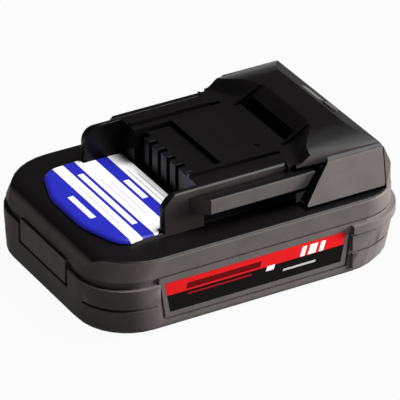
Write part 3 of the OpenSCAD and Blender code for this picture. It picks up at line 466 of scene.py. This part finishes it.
class PACK_OT_springs(bpy.types.Operator):
    """Wind the two springs behind the release tabs"""
    bl_idname = "pack.springs"
    bl_label = "Tab springs"

    def execute(self, context):
        _, sizes, _ = settings(context)
        wire = metal("spring wire", (0.52, 0.52, 0.54), 0.28)
        tree = spring_tree()
        for side in ("left", "right"):
            low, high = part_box(f"{side}_tab_spring")
            coil = bpy.data.objects.new(f"{side}_tab_coil", bpy.data.meshes.new(f"{side}_tab_coil"))
            bpy.context.collection.objects.link(coil)
            wind = coil.modifiers.new("wind", "NODES")
            wind.node_group = tree
            set_input(wind, "Turns", sizes.spring_turns)
            set_input(wind, "Radius", (high.x - low.x) / 2 - SPRING_WIRE)
            set_input(wind, "Length", high.y - low.y - 2 * SPRING_WIRE)
            set_input(wind, "Wire", SPRING_WIRE)
            set_input(wind, "Finish", wire)
            baked(coil)
            turn = Matrix.Rotation(math.radians(-90 if side == "right" else 90), 4, "X")
            foot_y = low.y + SPRING_WIRE if side == "right" else high.y - SPRING_WIRE
            start = Vector(((low.x + high.x) / 2, foot_y, (low.z + high.z) / 2))
            coil.data.transform(Matrix.Translation(start) @ turn)
            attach(coil, "case")
            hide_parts(f"{side}_tab_spring")
        return {"FINISHED"}


class PACK_OT_films(bpy.types.Operator):
    """Print the side labels and the top sticker with plain bands"""
    bl_idname = "pack.films"
    bl_label = "Label and sticker"

    def execute(self, context):
        finish, _, _ = settings(context)
        for side in ("left", "right"):
            paint(f"{side}_side_label", self.label(f"{side} label film", finish.label, side))
        paint("top_sticker", self.sticker(finish.sticker))
        return {"FINISHED"}

    def label(self, name, red, side):
        """A red band over black, with plain slanted bars."""
        low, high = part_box(f"{side}_side_label")
        g = Graph(name)
        along = g.axis("X")
        if side == "right":
            along = g.math("SUBTRACT", low.x + high.x, along)
        up = g.math("SUBTRACT", g.axis("Z"), low.z)
        slanted = g.math("MULTIPLY_ADD", up, -LABEL_LEAN, along)
        tall = high.z - low.z
        ink = g.noise(0.9, 3, 0.6)
        worn = g.remap(ink, 0.35, 0.7, 0, 1)
        black = g.mix(worn, (0.0022, 0.0016, 0.0013), (0.0040, 0.0030, 0.0026))
        bright = g.mix(worn, shade(red, 0.93), shade(red, 1.04))
        chalk = (0.76, 0.74, 0.73)
        pale = g.mix(worn, chalk, (0.84, 0.83, 0.82))
        colour = g.mix(g.inside(up, tall * LABEL_BAND_FOOT, tall * 1.2), black, bright)
        # start and end along the label in mm, foot and top as shares of its height, tone
        bars = (
            (-30.0, -2.0, 0.63, 0.82, shade(red, 0.16)),
            (-28.6, -4.5, 0.43, 0.48, shade(red, 0.55)),
            (1.0, 4.0, 0.42, 0.58, pale),
            (8.0, 20.5, 0.26, 0.33, shade(chalk, 0.62)),
            (13.4, 15.2, 0.58, 0.90, pale),
            (16.4, 19.4, 0.58, 0.90, pale),
            (20.6, 22.4, 0.58, 0.90, pale),
        )
        for start, end, foot, top, tone in bars:
            spot = g.math("MULTIPLY", g.inside(slanted, start * MM, end * MM),
                          g.inside(up, tall * foot, tall * top))
            colour = g.mix(spot, colour, tone)
        g.bump(g.noise(1.6, 2, 0.5), 0.08, 0.02)
        return g.finish(colour, g.remap(ink, 0.3, 0.7, 0.34, 0.44), Specular_IOR_Level=0.05)

    def sticker(self, blue):
        """White paper with blue bands, plain bars on the bands and hairlines between them."""
        g = Graph("top sticker film")
        along, across = g.axis("X"), g.axis("Y")
        paper = g.noise(0.8, 3, 0.6)
        fibre = g.remap(paper, 0.3, 0.7, 0, 1)
        white = g.mix(fibre, (0.80, 0.80, 0.80), (0.87, 0.87, 0.87))
        ink = g.mix(fibre, shade(blue, 0.9), shade(blue, 1.08))
        grey = (0.1, 0.1, 0.12)
        colour = white
        for start, end in ((-60, -41.0), (-36.8, -32.3), (-25.5, -21.0)):
            colour = g.mix(g.inside(along, start * MM, end * MM), colour, ink)
        # start and end along X and Y in mm, weight, tone
        bars = (
            (-45.6, -43.5, -8.6, 7.4, 0.85, white), (-35.6, -33.5, -18.7, 19.0, 0.85, white),
            (-24.3, -22.2, -5.5, 8.0, 0.85, white),
            (-39.2, -38.7, -16, 12, 0.55, ink), (-30.4, -29.9, -12, 13, 0.55, ink),
            (-28.3, -27.8, -15, 10, 0.55, ink), (-19.7, -19.2, -17, 14, 0.6, grey),
            (-17.8, -17.3, -17, 10, 0.6, grey),
        )
        for start, end, near, far, weight, tone in bars:
            spot = g.math("MULTIPLY", g.inside(along, start * MM, end * MM),
                          g.inside(across, near * MM, far * MM))
            colour = g.mix(g.math("MULTIPLY", spot, weight), colour, tone)
        g.bump(g.noise(1.4, 2, 0.5), 0.06, 0.02)
        return g.finish(colour, g.remap(paper, 0.3, 0.7, 0.34, 0.44), Specular_IOR_Level=0.2)


class PACK_OT_terminals(bpy.types.Operator):
    """Finish the terminal block and its contacts"""
    bl_idname = "pack.terminals"
    bl_label = "Terminals"

    def execute(self, context):
        finish, sizes, _ = settings(context)
        block = softened("terminal_block", "terminal_comb", sizes.fine_edge)
        plastic = moulded_plastic("terminal plastic", shade(finish.upper, 0.25), 0.48, gloss=finish.gloss,
                                  shade_and_polish=shaded_smooth_faces(finish))
        dress(block, plastic, "case", "terminal_plastic", "terminal_block")
        brass = metal("contact brass", (0.62, 0.45, 0.18), 0.3)
        for node in ("power_terminals", "signal_terminals"):
            paint(node, brass)
        return {"FINISHED"}


class PACK_OT_gauge(bpy.types.Operator):
    """Finish the charge gauge's window, button and lights"""
    bl_idname = "pack.gauge"
    bl_label = "Charge gauge"

    def execute(self, context):
        _, sizes, _ = settings(context)
        lens = softened("gauge_lens", "gauge_window", sizes.fine_edge)
        g = Graph("gauge window")
        smoke = g.noise(3, 2, 0.5)
        tone = g.mix(g.remap(smoke, 0.3, 0.7, 0, 1), (0.03, 0.035, 0.03), (0.05, 0.058, 0.05))
        window = g.finish(tone, g.remap(smoke, 0.3, 0.7, 0.3, 0.38), Specular_IOR_Level=0.12)
        dress(lens, window, "case", "lens", "gauge_lens")
        button = softened("gauge_button", "gauge_key_cap", sizes.fine_edge, clear=False)
        rubber = moulded_plastic("button rubber", (0.035, 0.034, 0.034), 0.7, gloss=0.08)
        dress(button, rubber, "gauge_key", "button", "gauge_button")
        g = Graph("gauge light")
        grain = g.noise(0.4, 2, 0.5)
        paint("gauge_lights", g.finish(g.mix(grain, (0.5, 0.62, 0.36), (0.7, 0.8, 0.5)), 0.25))
        return {"FINISHED"}


def crowned_block(node, name):
    """A foam block inside a CAD node's box: flat below, crowned above, drawn in between its corners."""
    share, taper, draw, drop = 0.94, 0.02, 0.03, 0.16  # shares of the box
    low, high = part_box(node)
    middle, half = (low + high) / 2, (high - low) / 2
    work = bmesh.new()
    bmesh.ops.create_cube(work, size=2)
    bmesh.ops.subdivide_edges(work, edges=work.edges, cuts=11, use_grid_fill=True)
    for vert in work.verts:
        x, y, z = vert.co
        waist = share - taper * abs(z) ** 4
        crown = 1 - drop * (x ** 4 + y ** 4)
        vert.co = (middle.x + half.x * x * (waist - draw * (1 - y * y)),
                   middle.y + half.y * y * (waist - draw * (1 - x * x)),
                   low.z + half.z * (1 + z) * crown)
    bmesh.ops.recalc_face_normals(work, faces=work.faces)
    for face in work.faces:
        face.smooth = True
    mesh = bpy.data.meshes.new(name)
    work.to_mesh(mesh)
    work.free()
    block = bpy.data.objects.new(name, mesh)
    bpy.context.collection.objects.link(block)
    return block


class PACK_OT_inside(bpy.types.Operator):
    """Finish the cells, holders, straps and boards inside the case, and make the foam pad"""
    bl_idname = "pack.inside"
    bl_label = "Inner pieces"

    def execute(self, context):
        steel = metal("screw steel", (0.5, 0.5, 0.52), 0.32)
        for node in ("case_screws", "left_tab_pin", "right_tab_pin"):
            paint(node, steel)
        nickel = metal("nickel strip", (0.6, 0.58, 0.54), 0.4)
        for node in ("series_straps", "positive_bus", "negative_bus"):
            paint(node, nickel)
        sleeve = moulded_plastic("cell sleeve", (0.06, 0.16, 0.26), 0.35, 0.8, 0.01)
        for i in range(1, 6):
            paint(f"cell_{i}", sleeve)
        holder = moulded_plastic("holder plastic", (0.11, 0.11, 0.12), 0.6)
        for node in ("left_cell_holder", "right_cell_holder", "gauge_switch"):
            paint(node, holder)
        for node in ("left_insulator", "right_insulator"):
            paint(node, moulded_plastic("fibre sheet", (0.55, 0.5, 0.4), 0.8, 0.5, 0.05))
        for node in ("control_board", "gauge_board"):
            paint(node, moulded_plastic("solder mask", (0.02, 0.12, 0.05), 0.35, 0.6, 0.01))
        for node in ("power_transistors", "control_chip", "thermistor"):
            paint(node, moulded_plastic("chip epoxy", (0.02, 0.02, 0.022), 0.55, 0.25))
        paint("gauge_ribbon", moulded_plastic("ribbon film", (0.4, 0.41, 0.43), 0.4, 0.5, 0.01))
        foam = crowned_block("foam_pad", "foam_cushion")
        dress(foam, moulded_plastic("foam", (0.05, 0.05, 0.055), 0.9, 0.5, 0.2), "case", "foam", "foam_pad")
        return {"FINISHED"}


# Studio

def area_light(name, place, aim, size, power):
    """A white softbox that looks at aim."""
    data = bpy.data.lights.new(name, "AREA")
    data.shape = "RECTANGLE"
    data.size, data.size_y = size
    data.energy = power
    lamp = bpy.data.objects.new(name, data)
    lamp.location = place
    lamp.rotation_mode = "QUATERNION"
    lamp.rotation_quaternion = (Vector(aim) - Vector(place)).to_track_quat("-Z", "Y")
    bpy.context.collection.objects.link(lamp)


class PACK_OT_stage(bpy.types.Operator):
    """Set up the floor, the light and the camera"""
    bl_idname = "pack.stage"
    bl_label = "Studio"

    def execute(self, context):
        _, _, studio = settings(context)
        scene = context.scene
        scene.view_settings.view_transform = "Standard"
        self.floor(studio)
        self.light(scene)
        self.camera(scene, studio)
        return {"FINISHED"}

    def floor(self, studio):
        mesh = bpy.data.meshes.new("floor")
        work = bmesh.new()
        bmesh.ops.create_circle(work, cap_ends=True, radius=FLOOR_RADIUS, segments=96)
        work.to_mesh(mesh)
        work.free()
        floor = bpy.data.objects.new("floor", mesh)
        floor.location.z = -FLOOR_DROP
        bpy.context.collection.objects.link(floor)
        g = Graph("floor")
        g.finish(rgba(studio.floor), 0.9, ior=1.1)
        glow = g.nodes.new("ShaderNodeEmission")
        glow.inputs["Strength"].default_value = 1.0
        path = g.nodes.new("ShaderNodeLightPath")
        seen = g.math("MAXIMUM", path.outputs["Is Camera Ray"],
                      g.math("MAXIMUM", path.outputs["Is Glossy Ray"], path.outputs["Is Transmission Ray"]))
        blend = g.nodes.new("ShaderNodeMixShader")
        g.links.new(g.math("MULTIPLY", seen, FLOOR_WHITE), blend.inputs["Fac"])
        g.links.new(g.shader.outputs["BSDF"], blend.inputs[1])
        g.links.new(glow.outputs["Emission"], blend.inputs[2])
        g.links.new(blend.outputs["Shader"], g.nodes["Material Output"].inputs["Surface"])
        floor.data.materials.append(g.material)

    def light(self, scene):
        world = bpy.data.worlds.new("studio")
        world.use_nodes = True
        world.node_tree.nodes["Background"].inputs["Color"].default_value = (1, 1, 1, 1)
        world.node_tree.nodes["Background"].inputs["Strength"].default_value = 0.05
        scene.world = world
        middle = (0, 0, 0.02)
        area_light("top softbox", (0.62, -0.16, 1.45), middle, (1.0, 1.0), 50)
        area_light("key softbox", (0.63, -0.24, 0.13), middle, (0.22, 0.2), 12)

    def camera(self, scene, studio):
        """The photograph's view: one reference point lands on its own pixel at a known scale."""
        a, e = studio.azimuth, studio.elevation
        back = Vector((math.sin(a) * math.cos(e), -math.cos(a) * math.cos(e), math.sin(e)))
        right = Vector((math.cos(a), math.sin(a), 0))
        up = back.cross(right)
        across, down = (PICTURE / 2 - place for place in REFERENCE_PIXEL)
        aim = REFERENCE + right * (across / PIXELS_PER_METRE) - up * (down / PIXELS_PER_METRE)
        data = bpy.data.cameras.new("camera")
        data.sensor_width = SENSOR
        data.lens = SENSOR * studio.distance * PIXELS_PER_METRE / PICTURE
        data.clip_start, data.clip_end = 0.1, 20
        camera = bpy.data.objects.new("camera", data)
        camera.location = aim + back * studio.distance
        camera.rotation_mode = "QUATERNION"
        camera.rotation_quaternion = Matrix((right, up, back)).transposed().to_quaternion()
        bpy.context.collection.objects.link(camera)
        scene.camera = camera


class PACK_PT_panel(bpy.types.Panel):
    """Lists the pack's pieces and settings"""
    bl_label = "Battery pack"
    bl_idname = "PACK_PT_panel"
    bl_space_type = "VIEW_3D"
    bl_region_type = "UI"
    bl_category = "Pack"

    def draw(self, context):
        for group in settings(context):
            box = self.layout.box()
            for name in group.__annotations__:
                box.prop(group, name)
        for operator in OPERATORS:
            self.layout.operator(operator.bl_idname)


OPERATORS = (PACK_OT_case, PACK_OT_tabs, PACK_OT_springs, PACK_OT_films, PACK_OT_terminals, PACK_OT_gauge,
             PACK_OT_inside, PACK_OT_stage)
GROUPS = (("pack_finish", PackFinish), ("pack_sizes", PackSizes), ("pack_studio", PackStudio))


def register():
    for name, group in GROUPS:
        bpy.utils.register_class(group)
        setattr(bpy.types.Scene, name, bpy.props.PointerProperty(type=group))
    for item in (*OPERATORS, PACK_PT_panel):
        bpy.utils.register_class(item)


def unregister():
    for item in reversed((*OPERATORS, PACK_PT_panel)):
        bpy.utils.unregister_class(item)
    for name, group in reversed(GROUPS):
        delattr(bpy.types.Scene, name)
        bpy.utils.unregister_class(group)


def main():
    register()
    for operator in OPERATORS:
        family, name = operator.bl_idname.split(".")
        getattr(getattr(bpy.ops, family), name)()


if __name__ == "__main__":
    main()
